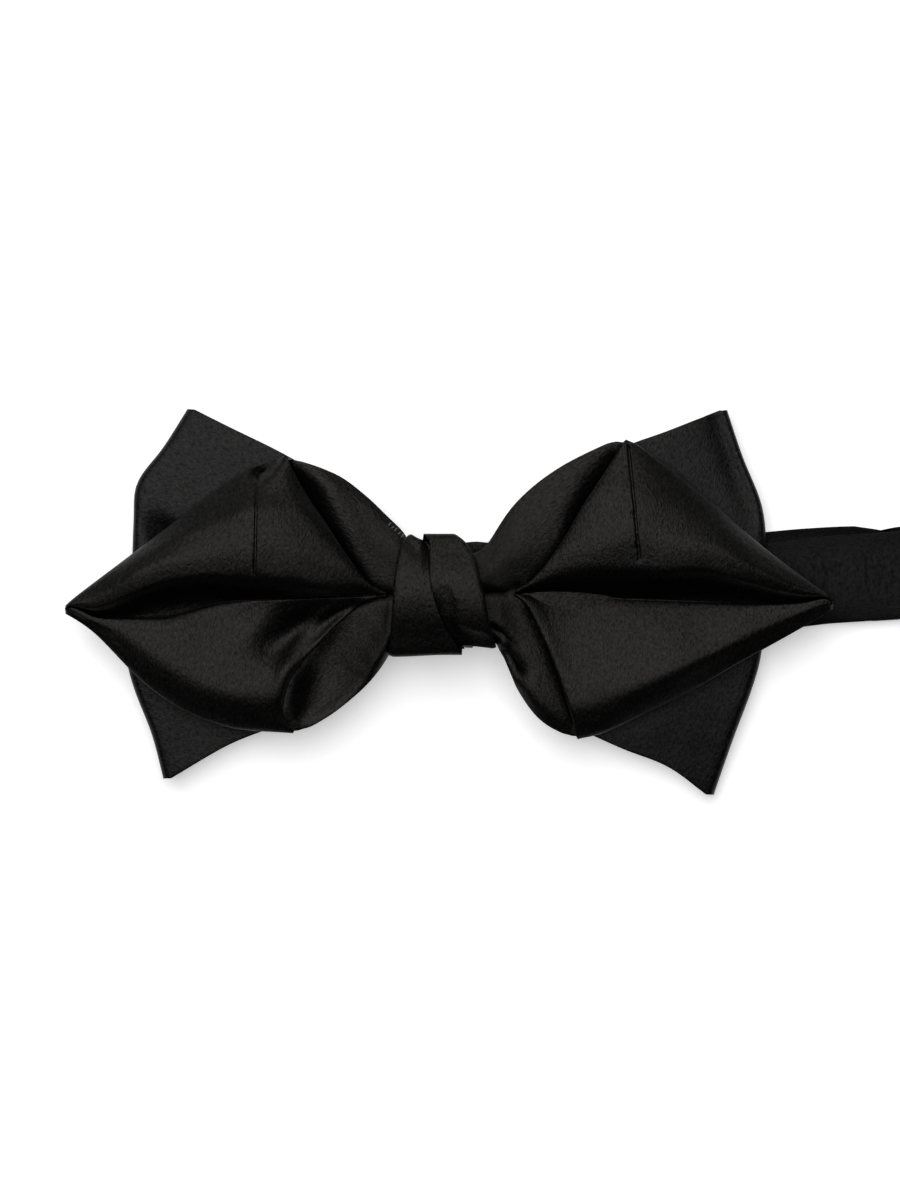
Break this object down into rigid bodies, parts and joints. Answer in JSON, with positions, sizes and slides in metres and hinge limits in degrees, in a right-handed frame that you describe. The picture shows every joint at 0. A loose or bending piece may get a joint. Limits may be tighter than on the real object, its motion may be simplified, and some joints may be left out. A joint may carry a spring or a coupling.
{
  "type": "diamond point bow tie",
  "caption": "Pre-tied black satin bow tie with folded diamond points over a flared back bow, a pleated knot and a closed neck band, lying on its back",
  "frame": {"origin": "on the underside of the neck band's lower run, below the middle of the knot, on the surface that the tie lies on", "axes": "+X along the bow towards the side where the band leaves it, +Y up the bow as worn, +Z out of the bow's front"},
  "size_m": [0.2319, 0.0625, 0.017],
  "materials": {
    "satin": "black satin weave with a soft sheen",
    "band_satin": "black satin ribbon with a soft sheen",
    "clasp_metal": "black enamel, smooth"
  },
  "bodies": {
    "root": {"front_bow": "satin", "back_bow": "satin", "knot": "satin", "neck_band": "band_satin", "band_clasp": "clasp_metal"}
  },
  "joints": []
}
